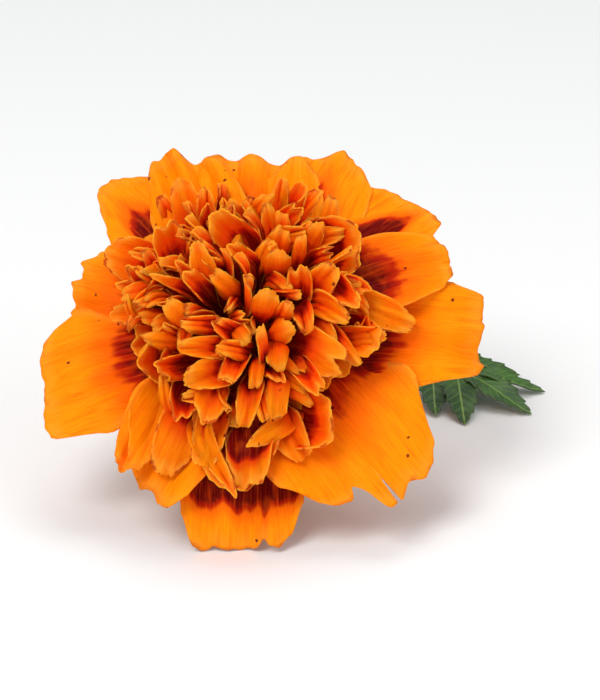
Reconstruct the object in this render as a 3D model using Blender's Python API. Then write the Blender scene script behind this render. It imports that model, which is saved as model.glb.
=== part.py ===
"""A double French marigold bloom, picked with a short stem and one pair of leaves, lying on a table.

The head is modelled in its own frame: the origin is the middle of the disc that the petals spread from,
+Z is the flower's axis and +X points to the viewer's right. An empty tips the head to the angle it lies at.
"""

import math

import bmesh
import bpy
from mathutils import Matrix, Vector

MM = 0.001
TAU = 2.0 * math.pi

# How the flower lies: its axis rises this far above the table
AXIS_ELEVATION = 50.0

# Petals, in millimetres
PETAL_THICKNESS = 0.5
FLORET_WALL = 0.45
PINWHEEL_STEP = 1.1  # each petal lies this far over its neighbour, all the way round
OUTER_CURL = -0.2  # how far a petal's edges lie above its middle
INNER_CURL = 0.3

# Outer ray petals: azimuth in degrees, reach from the axis, full width, lobes of the end, depth of the lobes
OUTER_PETALS = (
    (0.0, 32.3, 17.5, 3, 0.9),
    (27.0, 31.0, 17.0, 2, 0.7),
    (46.0, 32.8, 16.0, 2, 1.0),
    (71.0, 33.8, 17.0, 1, 1.6),
    (91.0, 31.0, 17.0, 3, 0.6),
    (111.0, 33.8, 16.0, 2, 0.8),
    (131.0, 33.3, 16.5, 2, 0.9),
    (160.0, 29.8, 17.0, 4, 0.8),
    (189.0, 32.0, 23.5, 3, 0.8),
    (235.0, 28.8, 16.5, 2, 0.9),
    (264.0, 32.8, 18.5, 2, 1.3),
    (308.0, 32.2, 26.0, 4, 1.0),
)

# Inner petals, folded like boats between the outer ones and the crest: azimuth, reach, full width
INNER_PETALS = (
    (0.0, 22.5, 8.0),
    (32.0, 20.0, 12.0),
    (57.0, 22.5, 11.0),
    (83.0, 23.0, 11.5),
    (107.0, 23.0, 11.0),
    (132.0, 22.0, 11.0),
    (160.0, 24.0, 11.0),
    (185.0, 20.5, 10.0),
    (207.0, 20.5, 11.0),
    (234.0, 21.0, 12.0),
    (263.0, 26.0, 13.0),
    (285.0, 21.0, 9.0),
    (306.0, 21.5, 9.5),
    (340.0, 21.0, 10.0),
)

# Crest florets, ring by ring: how many, mouth's distance from the axis and height, mouth radius, turn in degrees
CREST_RINGS = (
    (12, 13.7, 12.0, 3.05, 0.0),
    (9, 9.0, 15.4, 2.65, 12.0),
    (5, 4.6, 17.4, 2.1, 31.0),
    (1, 0.0, 18.0, 2.0, 0.0),
)

CREST_LOWEST_ROOT = 40.0  # latitude on the dome of the lowest ring's claws

# The involucre, and the domed receptacle that fills its mouth
RIM_RADIUS = 6.8
RIM_WALL = 0.6
DOME_RADIUS = 5.7
DOME_BASE = 0.2
DOME_HEIGHT = 5.0
INVOLUCRE_DEPTH = 19.0
INVOLUCRE_FOOT = 3.5
INVOLUCRE_RIBS = 8
SEAT_GAP = 0.3

# Stem: swollen under the head, bent down to the table, then lying along it
STEM_TOP_RADIUS = 3.1
STEM_RADIUS = 1.65
STEM_SWELL_LENGTH = 19.0
STEM_LENGTH = 62.0
STEM_TURN = 66.0  # how far it has turned to the right at its cut end
STEM_POINTS = 30
LEAF_NODE_AT = 47.0  # along the stem, where the pair of leaves grows

# Leaves: rachis length, heading on the table (0 is straight back, 90 is to the right), leaflet pairs
LEAVES = {
    "leaf_right": {"length": 33.0, "heading": 134.0, "pairs": 3, "arch": 3.0},
    "leaf_back": {"length": 34.0, "heading": -50.0, "pairs": 3, "arch": 3.0},
}
LEAF_THICKNESS = 0.5
RACHIS_HALF_WIDTH = 0.75
LEAFLET_WIDTH = 4.6


def clear_scene():
    for item in list(bpy.data.objects):
        bpy.data.objects.remove(item, do_unlink=True)


def finish_material(name, color, roughness):
    material = bpy.data.materials.new(name)
    material.use_nodes = True
    shader = material.node_tree.nodes["Principled BSDF"]
    shader.inputs["Base Color"].default_value = (*color, 1.0)
    shader.inputs["Roughness"].default_value = roughness
    shader.inputs["Metallic"].default_value = 0.0
    return material


def smooth_step(value):
    value = min(max(value, 0.0), 1.0)
    return value * value * (3.0 - 2.0 * value)


def mix(low, high, share):
    return low + (high - low) * share


def add_object(name, mesh, material, parent=None):
    mesh.materials.append(material)
    mesh.shade_smooth()
    item = bpy.data.objects.new(name, mesh)
    bpy.context.scene.collection.objects.link(item)
    item.parent = parent
    return item


def mesh_from(name, vertices, faces):
    """One closed body from points in millimetres, with its faces turned outward."""
    mesh = bpy.data.meshes.new(name)
    mesh.from_pydata([Vector(p) * MM for p in vertices], [], faces)
    body = bmesh.new()
    body.from_mesh(mesh)
    bmesh.ops.recalc_face_normals(body, faces=body.faces)
    body.to_mesh(mesh)
    body.free()
    return mesh


def sheet_mesh(name, surface, rows, columns, thickness):
    """A closed plate of even thickness around surface(along, across), with along 0 to 1 and across -1 to 1."""
    step = 0.01
    top = []
    bottom = []
    for i in range(rows + 1):
        for j in range(columns + 1):
            along = i / rows
            across = 2.0 * j / columns - 1.0
            point = surface(along, across)
            back, ahead = max(along - step, 0.0), min(along + step, 1.0)
            left, right = max(across - step, -1.0), min(across + step, 1.0)
            length_way = surface(ahead, across) - surface(back, across)
            cross_way = surface(along, right) - surface(along, left)
            normal = length_way.cross(cross_way).normalized()
            top.append(point + normal * (thickness / 2.0))
            bottom.append(point - normal * (thickness / 2.0))
    count = len(top)
    wide = columns + 1
    faces = []
    for i in range(rows):
        for j in range(columns):
            a, b = i * wide + j, i * wide + j + 1
            c, d = b + wide, a + wide
            faces.append((a, b, c, d))
            faces.append((a + count, d + count, c + count, b + count))
    rim = [j for j in range(wide)]
    rim += [i * wide + columns for i in range(1, rows + 1)]
    rim += [rows * wide + j for j in range(columns - 1, -1, -1)]
    rim += [i * wide for i in range(rows - 1, 0, -1)]
    for here, there in zip(rim, rim[1:] + rim[:1]):
        faces.append((here, here + count, there + count, there))
    return mesh_from(name, top + bottom, faces)


def place_in_ring(azimuths, angle, index):
    """How many petals round from petal index this angle lies: 0 on its own azimuth, 1 on the next one's."""
    count = len(azimuths)
    turn = (angle - azimuths[index] + 180.0) % 360.0 - 180.0
    way = 1 if turn >= 0.0 else -1
    here = azimuths[index]
    for hops in range(count):
        there = azimuths[(index + way * (hops + 1)) % count]
        span = ((there - here) * way) % 360.0
        if abs(turn) <= span:
            return way * (hops + abs(turn) / span)
        turn -= way * span
        here = there
    return 0.0


def outer_height(radius):
    """Height of the outer petals' layer: out over the rim, then drooping to the tips."""
    over_rim = 1.0 + 0.09 * (radius - DOME_RADIUS)
    return over_rim - 0.0195 * max(radius - 12.0, 0.0) ** 2


def inner_height(radius):
    """Height of the inner petals' layer, which rises away from the outer one."""
    return 3.0 + 0.25 * (radius - DOME_RADIUS)


def petal_outline(along, across, reach, width, claw, lobes, lobe_depth):
    """Distance out and sideways for a point of a petal: a narrow claw that opens to a broad lobed end."""
    opening = smooth_step((along - 0.12) / 0.62)
    rounding = 1.0 - 0.22 * smooth_step((along - 0.78) / 0.22)
    half = mix(claw / 2.0, width / 2.0, opening) * rounding
    start = DOME_RADIUS + SEAT_GAP + 0.1
    end_drop = 0.15 * width * abs(across) ** 2.4
    scallop = lobe_depth * (0.5 - 0.5 * math.cos(math.pi * lobes * (across + 1.0)))
    end = reach - end_drop - lobe_depth + scallop
    out = mix(start, end, along) if along < 1.0 else end
    return out, half * across


def petal_surface(azimuths, index, shape, layer, curl, start_pull):
    """The middle surface of one petal, laid over its neighbour like a pinwheel's vane."""
    reach, width, claw, lobes, depth = shape
    azimuth = azimuths[index]

    def surface(along, across):
        out, side = petal_outline(along, across, reach, width, claw, lobes, depth)
        out -= start_pull * (1.0 - along) ** 2
        radius = math.hypot(out, side)
        offset = math.degrees(math.atan2(side, out))
        vane = PINWHEEL_STEP * place_in_ring(azimuths, azimuth + offset, index)
        height = layer(radius) + vane * smooth_step((along - 0.05) / 0.2)
        height += curl * across * across * smooth_step((along - 0.2) / 0.5)
        angle = math.radians(azimuth + offset)
        return Vector((radius * math.cos(angle), radius * math.sin(angle), height))

    return surface


def build_outer_petals(head, material):
    azimuths = [row[0] for row in OUTER_PETALS]
    for index, (_, reach, width, lobes, depth) in enumerate(OUTER_PETALS):
        shape = (reach, width, 1.7, lobes, depth)
        surface = petal_surface(azimuths, index, shape, outer_height, OUTER_CURL, 0.0)
        name = f"outer_petal_{index + 1:02d}"
        mesh = sheet_mesh(name, surface, 8, 8, PETAL_THICKNESS)
        add_object(name, mesh, material, head)


def build_inner_petals(head, material):
    azimuths = [row[0] for row in INNER_PETALS]
    for index, (_, reach, width) in enumerate(INNER_PETALS):
        shape = (reach, width, 1.3, 1, 0.8)
        surface = petal_surface(azimuths, index, shape, inner_height, INNER_CURL, 0.55)
        name = f"inner_petal_{index + 1:02d}"
        mesh = sheet_mesh(name, surface, 7, 5, PETAL_THICKNESS)
        add_object(name, mesh, material, head)


def dome_point(latitude, azimuth, gap):
    """A point this far off the receptacle's dome."""
    flat = (DOME_RADIUS + gap) * math.cos(latitude)
    height = DOME_BASE + (DOME_HEIGHT + gap) * math.sin(latitude)
    return Vector((flat * math.cos(azimuth), flat * math.sin(azimuth), height))


def floret_mesh(name, root, mouth, mouth_radius):
    """A funnel on a solid claw, with the outward side of its mouth drawn out as a lip."""
    axis = (mouth - root).normalized()
    outward = Vector((mouth.x, mouth.y, 0.0))
    if outward.length < 0.1:
        outward = Vector((0.0, -1.0, 0.0))
    lip_way = (outward - axis * outward.dot(axis)).normalized()
    side_way = axis.cross(lip_way)
    length = (mouth - root).length
    outer = ((0.0, 0.55), (0.40, 0.65), (0.72, 0.68 * mouth_radius), (1.0, mouth_radius))
    inner_radii = ((1.0, mouth_radius - FLORET_WALL), (0.72, 0.68 * mouth_radius - FLORET_WALL), (0.52, 0.35))
    sides = 9
    vertices = []
    for share, radius in outer + inner_radii:
        for k in range(sides):
            angle = TAU * k / sides
            lip = 0.22 * mouth_radius * math.cos(angle) * smooth_step((share - 0.6) / 0.4)
            around = lip_way * math.cos(angle) + side_way * math.sin(angle)
            vertices.append(root + axis * (share * length + lip) + around * radius)
    rings = len(outer) + len(inner_radii)
    faces = []
    for ring in range(rings - 1):
        for k in range(sides):
            nxt = (k + 1) % sides
            a, b = ring * sides + k, ring * sides + nxt
            faces.append((a, b, b + sides, a + sides))
    faces.append(tuple(range(sides)))
    faces.append(tuple((rings - 1) * sides + k for k in range(sides)))
    return mesh_from(name, vertices, faces)


def build_crest(head, material):
    number = 0
    for count, distance, height, mouth_radius, turn in CREST_RINGS:
        for k in range(count):
            number += 1
            azimuth = math.radians(turn) + TAU * k / count
            mouth = Vector((distance * math.cos(azimuth), distance * math.sin(azimuth), height))
            latitude = mix(CREST_LOWEST_ROOT, 90.0, 1.0 - distance / CREST_RINGS[0][1])
            root = dome_point(math.radians(latitude), azimuth, SEAT_GAP + 0.2)
            name = f"crest_floret_{number:02d}"
            mesh = floret_mesh(name, root, mouth, mouth_radius)
            add_object(name, mesh, material, head)


def build_involucre(head, material):
    """Fused green bracts in a ribbed cup, closed on top by the domed receptacle that the petals grow from."""
    wall = (
        (0.0, INVOLUCRE_FOOT),
        (0.12, 4.6),
        (0.30, 5.9),
        (0.55, 6.75),
        (0.80, 6.95),
        (1.0, RIM_RADIUS),
    )
    profile = [(radius, -INVOLUCRE_DEPTH * (1.0 - share)) for share, radius in wall]
    profile.append((RIM_RADIUS - RIM_WALL, 0.0))
    dome_rings = 6
    for k in range(dome_rings):
        latitude = 0.5 * math.pi * k / dome_rings
        profile.append((DOME_RADIUS * math.cos(latitude), DOME_BASE + DOME_HEIGHT * math.sin(latitude)))
    sides = 6 * INVOLUCRE_RIBS
    vertices = []
    for number, (radius, height) in enumerate(profile):
        rib = 0.018 if number < len(wall) else 0.0
        for k in range(sides):
            angle = TAU * k / sides
            ribbed = radius * (1.0 + rib * math.cos(INVOLUCRE_RIBS * angle))
            vertices.append((ribbed * math.cos(angle), ribbed * math.sin(angle), height))
    top = len(vertices)
    vertices.append((0.0, 0.0, DOME_BASE + DOME_HEIGHT))
    faces = [tuple(range(sides))]
    for ring in range(len(profile) - 1):
        for k in range(sides):
            nxt = (k + 1) % sides
            a, b = ring * sides + k, ring * sides + nxt
            faces.append((a, b, b + sides, a + sides))
    last = (len(profile) - 1) * sides
    for k in range(sides):
        faces.append((last + k, last + (k + 1) % sides, top))
    add_object("involucre", mesh_from("involucre", vertices, faces), material, head)


def stem_radius(distance):
    return mix(STEM_TOP_RADIUS, STEM_RADIUS, smooth_step(distance / STEM_SWELL_LENGTH))


def stem_path(start, steps=240):
    """The stem's middle line from under the head: down along the flower's axis, levelling out on the table.

    The bend's length is the one that brings the stem to the table just as it comes level.
    """
    drop = start.z - STEM_RADIUS
    unit_drop = sum(math.sin(math.radians(stem_pitch((k + 0.5) / steps))) for k in range(steps)) / steps
    bend = drop / unit_drop
    point = start.copy()
    path = [(0.0, point.copy(), stem_way(0.0, bend))]
    step = STEM_LENGTH / steps
    for k in range(steps):
        way = stem_way((k + 0.5) * step, bend)
        point = point + way * step
        path.append(((k + 1) * step, point.copy(), stem_way((k + 1) * step, bend)))
    return path


def stem_pitch(share):
    return AXIS_ELEVATION * (1.0 - smooth_step(share))


def stem_way(distance, bend):
    pitch = math.radians(stem_pitch(distance / bend))
    heading = math.radians(STEM_TURN * smooth_step(distance / STEM_LENGTH))
    level = math.cos(pitch)
    return Vector((level * math.sin(heading), level * math.cos(heading), -math.sin(pitch)))


def build_stem(path, material):
    """A swept round stem, cut square at its end."""
    sides = 12
    vertices = []
    every = (len(path) - 1) // STEM_POINTS
    stations = path[::every]
    for distance, point, way in stations:
        side_way = way.cross(Vector((0.0, 0.0, 1.0))).normalized()
        up_way = side_way.cross(way)
        radius = stem_radius(distance)
        for k in range(sides):
            angle = TAU * k / sides
            vertices.append(point + (side_way * math.cos(angle) + up_way * math.sin(angle)) * radius)
    faces = [tuple(range(sides))]
    for ring in range(len(stations) - 1):
        for k in range(sides):
            nxt = (k + 1) % sides
            a, b = ring * sides + k, ring * sides + nxt
            faces.append((a, b, b + sides, a + sides))
    faces.append(tuple((len(stations) - 1) * sides + k for k in range(sides)))
    return add_object("stem", mesh_from("stem", vertices, faces), material)


def leaflet_outline(length, width):
    """One side of a leaflet from base to tip: a lance shape with saw teeth that point to the tip."""
    teeth = 3
    points = []
    for k in range(teeth):
        share = (k + 1.0) / (teeth + 1.0)
        bulge = math.sin(math.pi * share ** 0.8)
        points.append((length * (share - 0.16), 0.5 * width * bulge * 0.80))
        points.append((length * share, 0.5 * width * bulge))
    return points


def leaf_outline(length, pairs):
    """The whole pinnate leaf's edge, drawn along one side of the rachis and back along the other."""
    side = [(0.0, RACHIS_HALF_WIDTH)]
    for k in range(pairs):
        share = (k + 1.0) / (pairs + 1.0)
        root = length * (0.05 + 0.72 * share)
        leaflet = length * (0.36 + 0.06 * math.sin(math.pi * share))
        spread = math.radians(mix(58.0, 40.0, share))
        out = Vector((math.cos(spread), math.sin(spread)))
        across = Vector((-out.y, out.x))
        base = Vector((root, RACHIS_HALF_WIDTH))
        edge = leaflet_outline(leaflet, LEAFLET_WIDTH)
        side.append(tuple(base + across * 0.55 - out * 0.1))
        side += [tuple(base + out * x + across * y) for x, y in edge]
        side.append(tuple(base + out * leaflet))
        side += [tuple(base + out * x - across * y) for x, y in reversed(edge)]
        side.append(tuple(base - across * 0.55 + out * 0.35))
    last = length * 0.60
    end = leaflet_outline(length * 0.42, LEAFLET_WIDTH * 1.1)
    side.append((last + 1.6, RACHIS_HALF_WIDTH))
    side += [(last + x, max(y, RACHIS_HALF_WIDTH)) for x, y in end if x > 3.0]
    tip = (length + 1.0, 0.0)
    return side + [tip] + [(x, -y) for x, y in reversed(side)]


def build_leaf(name, plan, node, stem_heading, material):
    """A thin leaf cut to its outline, arched from the stem and down again to the table at its tip."""
    outline = leaf_outline(plan["length"], plan["pairs"])
    flat = bmesh.new()
    corners = [flat.verts.new((x, y, 0.0)) for x, y in outline]
    flat.faces.new(corners)
    bmesh.ops.triangulate(flat, faces=flat.faces[:])
    flat.verts.index_update()
    sheet = [tuple(v.index for v in face.verts) for face in flat.faces]
    flat.free()
    count = len(outline)
    vertices = []
    for lift in (LEAF_THICKNESS, 0.0):
        for x, y in outline:
            share = min(max(x / plan["length"], 0.0), 1.0)
            ridge = mix(STEM_RADIUS - 0.25, 0.0, smooth_step(share * 1.3)) + plan["arch"] * math.sin(
                math.pi * share
            )
            fall = 0.16 * abs(y)
            vertices.append((x, y, max(ridge - fall, 0.0) + lift))
    faces = [tri for tri in sheet] + [tuple(k + count for k in reversed(tri)) for tri in sheet]
    for k in range(count):
        nxt = (k + 1) % count
        faces.append((k, k + count, nxt + count, nxt))
    leaf = add_object(name, mesh_from(name, vertices, faces), material)
    heading = math.radians(plan["heading"])
    way = Vector((math.sin(heading), math.cos(heading), 0.0))
    turned = math.radians(plan["heading"]) - stem_heading
    clear = (STEM_RADIUS + SEAT_GAP + RACHIS_HALF_WIDTH * abs(math.cos(turned))) / abs(math.sin(turned))
    root = Vector((node.x, node.y, 0.0)) + way * clear
    leaf.location = root * MM
    leaf.rotation_euler = (0.0, 0.0, math.pi / 2.0 - heading)
    return leaf


def build():
    clear_scene()
    petal = finish_material("petal_orange", (1.0, 0.30, 0.004), 0.45)
    folded = finish_material("petal_flame", (0.85, 0.11, 0.004), 0.45)
    bract = finish_material("involucre_green", (0.13, 0.17, 0.025), 0.5)
    green = finish_material("stem_green", (0.07, 0.14, 0.02), 0.5)
    blade = finish_material("leaf_green", (0.03, 0.11, 0.015), 0.4)

    head = bpy.data.objects.new("head", None)
    bpy.context.scene.collection.objects.link(head)
    build_outer_petals(head, petal)
    build_inner_petals(head, folded)
    build_crest(head, folded)
    build_involucre(head, bract)

    # the head is tipped, then lifted until its lowest petal just meets the table
    tip = Matrix.Rotation(math.radians(90.0 - AXIS_ELEVATION), 4, "X")
    lowest = min((tip @ v.co).z for item in head.children for v in item.data.vertices)
    disc = Vector((0.0, 0.0, -lowest / MM))
    axis = tip.to_3x3() @ Vector((0.0, 0.0, 1.0))
    path = stem_path(disc - axis * (INVOLUCRE_DEPTH + SEAT_GAP))
    stem = build_stem(path, green)
    _, node, way = min(path, key=lambda row: abs(row[0] - LEAF_NODE_AT))
    stem_heading = math.atan2(way.x, way.y)
    leaves = [build_leaf(name, plan, node, stem_heading, blade) for name, plan in LEAVES.items()]

    head.rotation_euler = tip.to_euler()
    head.location = disc * MM
    bpy.context.view_layer.update()

    # the origin goes under the middle of the whole flower's box, on the table
    loose = [stem, *leaves]
    corners = [item.matrix_world @ v.co for item in [*head.children, *loose] for v in item.data.vertices]
    middle_x = (min(p.x for p in corners) + max(p.x for p in corners)) / 2.0
    middle_y = (min(p.y for p in corners) + max(p.y for p in corners)) / 2.0
    for item in (head, *loose):
        item.location -= Vector((middle_x, middle_y, 0.0))


build()
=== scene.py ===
import math
from functools import partial
import bpy
import numpy as np
from mathutils import Matrix, Vector


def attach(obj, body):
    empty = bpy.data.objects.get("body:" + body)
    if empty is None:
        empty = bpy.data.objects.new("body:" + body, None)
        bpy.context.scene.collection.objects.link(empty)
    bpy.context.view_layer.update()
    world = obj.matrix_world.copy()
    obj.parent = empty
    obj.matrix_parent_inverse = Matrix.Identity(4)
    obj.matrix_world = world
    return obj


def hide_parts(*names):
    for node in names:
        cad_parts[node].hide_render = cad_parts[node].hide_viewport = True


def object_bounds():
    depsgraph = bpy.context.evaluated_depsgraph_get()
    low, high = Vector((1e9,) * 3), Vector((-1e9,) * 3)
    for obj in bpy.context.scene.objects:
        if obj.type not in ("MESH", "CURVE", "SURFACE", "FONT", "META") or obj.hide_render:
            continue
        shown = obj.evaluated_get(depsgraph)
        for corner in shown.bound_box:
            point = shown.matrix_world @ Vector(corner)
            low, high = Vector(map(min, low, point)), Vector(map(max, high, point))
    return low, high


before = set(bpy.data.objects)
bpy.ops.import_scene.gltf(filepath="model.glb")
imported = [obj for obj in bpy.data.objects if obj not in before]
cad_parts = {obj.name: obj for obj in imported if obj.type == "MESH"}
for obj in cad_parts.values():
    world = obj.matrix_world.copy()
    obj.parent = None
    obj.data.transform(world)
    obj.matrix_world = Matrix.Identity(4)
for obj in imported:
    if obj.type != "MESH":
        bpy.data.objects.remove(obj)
cadLow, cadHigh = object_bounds()

mm = 0.001
fullTurn = 2.0 * math.pi
mapSize = 40.0  # millimetres of surface to one turn of the pattern map
chance = np.random.default_rng(11)

head = {
    "place": (-7.678, -27.057, 24.504),  # millimetres: the middle of the disc that the petals spread from
    "lean": 40.0,  # the flower's axis tips this far forward from upright
}
headTurn = np.array(Matrix.Rotation(math.radians(head["lean"]), 3, "X"))


def smooth(low, high, value):
    share = np.clip((value - low) / (high - low), 0.0, 1.0)
    return share * share * (3.0 - 2.0 * share)


def blend(low, high, share):
    return low + (high - low) * share


def bell(value, middle, spread):
    return np.exp(-(((value - middle) / spread) ** 2))


def unit(vectors):
    return vectors / np.maximum(np.linalg.norm(vectors, axis=-1, keepdims=True), 1e-9)


def toWorld(points):
    return (points @ headTurn.T + np.array(head["place"])) * mm


def layers(*parts):
    # the parts of a grid's points, each first spread over all rows and columns
    return np.stack(np.broadcast_arrays(*parts), axis=-1)


def patternMap(across, along):
    return layers(across, along) / mapSize


def ringAngles(sides):
    return np.linspace(0.0, fullTurn, sides, endpoint=False)[None, :]


def alongLine(places, stations, rows):
    # points or directions read off a line at any places along it
    return np.stack([np.interp(places, stations, rows[:, k]) for k in range(3)], axis=-1)


def runningSum(steps):
    return np.concatenate([np.zeros((1,) + steps.shape[1:]), np.cumsum(steps, axis=0)])


# Mesh helpers

def newMesh(name, points, faces, finishOf, marks, shape, corners):
    mesh = bpy.data.meshes.new(name)
    mesh.from_pydata(points.reshape(-1, 3).tolist(), [], faces)
    mesh.polygons.foreach_set("material_index", finishOf)
    mesh.shade_smooth()
    for label, values in marks.items():
        values = np.broadcast_to(values, shape).astype(np.float32).ravel()
        values = np.tile(values, len(mesh.vertices) // values.size)
        mesh.attributes.new(label, "FLOAT", "POINT").data.foreach_set("value", values)
    mesh.uv_layers.new(name="petalMap").data.foreach_set("uv", corners.astype(np.float32).ravel())
    return mesh


def sheetMesh(name, top, bottom, flat, marks):
    # a closed thin body from an upper and a lower grid, with a lap round its edge
    spots = np.arange(top.shape[0] * top.shape[1]).reshape(top.shape[:2])
    upper = layers(spots[:-1, :-1], spots[1:, :-1], spots[1:, 1:], spots[:-1, 1:]).reshape(-1, 4)
    rim = np.concatenate([spots[:-1, 0], spots[-1, :-1], spots[:0:-1, -1], spots[0, :0:-1]])
    there = np.roll(rim, -1)
    lap = layers(there, rim, rim + spots.size, there + spots.size)
    faces = np.concatenate([upper, upper[:, ::-1] + spots.size, lap])
    finishOf = np.repeat([0, 1, 0], [len(upper), len(upper), len(lap)])
    corners = np.tile(flat.reshape(-1, 2), (2, 1))[faces]
    return newMesh(name, np.stack([top, bottom]), faces.tolist(), finishOf, marks, spots.shape, corners)


def ringMesh(name, grid, flat, marks, closeStart=False, closeEnd=False, change=math.inf):
    # a body of closed rings, one for each row of the grid; its second finish starts at row change
    sides = grid.shape[1]
    spots = np.arange(grid.shape[0] * sides).reshape(grid.shape[:2])
    there = np.roll(spots, -1, axis=1)
    quads = layers(spots[:-1], there[:-1], there[1:], spots[1:]).reshape(-1, 4)
    caps = [spots[0, ::-1]] * closeStart + [spots[-1]] * closeEnd
    faces = quads.tolist() + [cap.tolist() for cap in caps]
    finishOf = (np.arange(len(faces)) // sides >= change).astype(int)
    flat = flat.reshape(-1, 2)
    pastSeam = (quads % sides == 0) & (quads[:, :1] % sides == sides - 1)
    onward = 2.0 * flat[sides - 1] - flat[sides - 2] - flat[0]
    corners = (flat[quads] + pastSeam[..., None] * onward).reshape(-1, 2)
    corners = np.concatenate([corners] + [flat[cap] for cap in caps])
    return newMesh(name, grid, faces, finishOf, marks, spots.shape, corners)


def spreadValues(values, across):
    # a smooth run through evenly spaced values from -1 to 1
    places = np.clip((across + 1.0) / 2.0, 0.0, 1.0) * (len(values) - 1)
    first = np.minimum(places.astype(int), len(values) - 2)
    share = places - first
    share = 0.5 * share + 0.5 * smooth(0.0, 1.0, share)
    values = np.array(values, dtype=float)
    return blend(values[first], values[first + 1], share)


def gridNormals(grid):
    return unit(np.cross(np.gradient(grid, axis=0), np.gradient(grid, axis=1)))


def addObject(name, data):
    thing = bpy.data.objects.new(name, data)
    bpy.context.scene.collection.objects.link(thing)
    return thing


def addPiece(mesh, finishes, node=None):
    piece = addObject(mesh.name, mesh)
    for finish in finishes:
        mesh.materials.append(finish)
    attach(piece, "root")
    if node:
        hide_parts(node)


petalBasics = {
    "rows": 46, "columns": 46, "claw": 1.5, "opens": (-0.12, 0.62), "narrows": 0.10,
    "edge": (), "round": 0.20, "power": 2.4, "notches": (), "tears": (), "crimp": 0.0025,
    "bend": 1.5, "twist": 0.0, "sweep": 0.0, "ruffle": 0.5, "pleat": 0.16, "warp": 0.0, "fold": 0.0,
    "thick": 0.32, "blotchWide": 0.7, "fade": 8.0, "shift": 0.0, "ragged": 0.5, "tongues": (),
    "root": (5.6, 0.8),  # millimetres out from the axis and up
}


def petalEnd(plan, across, waves):
    # how far out the end lies across the petal, as a share of its length in millimetres
    if plan["edge"]:
        length = max(plan["edge"]) - plan["root"][0]
        end = (spreadValues(plan["edge"], across) - plan["root"][0]) / length
    else:
        length = plan["length"]
        end = 1.0 - plan["round"] * np.abs(across) ** plan["power"]
    for place, depth, spread in plan["notches"]:
        end = end - depth * bell(across, place, spread)
    for place, depth, spread in plan["tears"]:
        side = across * plan["width"] / 2.0 - place
        end = end - depth / length / (1.0 + (side / spread) ** 6)
    end = end + plan["crimp"] * (np.sin(17.0 * across + waves[0]) + np.sin(29.0 * across + waves[1]))
    return end, length


def petalMarks(plan, along, across, distance, waves):
    # what the finish reads: how far each point lies past the dark heart, and how near the edge
    reach = plan["blotch"] * (1.0 - plan["blotchWide"] * np.abs(across) ** 1.6 * smooth(0.2, 0.6, along))
    rags = np.sin(10.0 * across + waves[9]) + 0.7 * np.sin(21.0 * across + waves[8])
    reach = reach + plan["ragged"] * rags
    for place, more, spread in plan["tongues"]:
        reach = reach + more * bell(across, place, spread)
    flame = 1.0 + plan["shift"] + (distance - reach) / plan["fade"]
    return {"fromHeart": flame, "nearEdge": np.maximum(np.abs(across), along)}


def followLine(plan, share, lateral, normalWay):
    # lays a section along a line in space from the root to the tip, turning from its first way to its last
    place = np.linspace(0.0, 1.0, 90)[:, None]
    turned = smooth(plan["bendAt"] - 0.16, plan["bendAt"] + 0.16, place)
    way = unit(blend(plan["firstWay"], plan["lastWay"], turned))
    side = unit(plan["side"] - np.sum(way * plan["side"], axis=1, keepdims=True) * way)
    normal = np.cross(way, side)
    curl = np.radians(plan["curl"]) * smooth(blend(plan["bendAt"], 1.0, 0.35), 1.0, place)
    curled = way * np.cos(curl) + normal * np.sin(curl)
    gap = plan["length"] / (len(place) - 1)
    miss = plan["tip"] - plan["foot"] - np.sum(way[1:], axis=0) * gap
    points = plan["foot"] + runningSum(curled[1:]) * gap + place * miss
    normal = normal * np.cos(curl) - way * np.sin(curl)
    points, side, normal = (alongLine(share, place[:, 0], rows) for rows in (points, side, normal))
    return points + side * lateral[..., None] + normal * normalWay[..., None]


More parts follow.
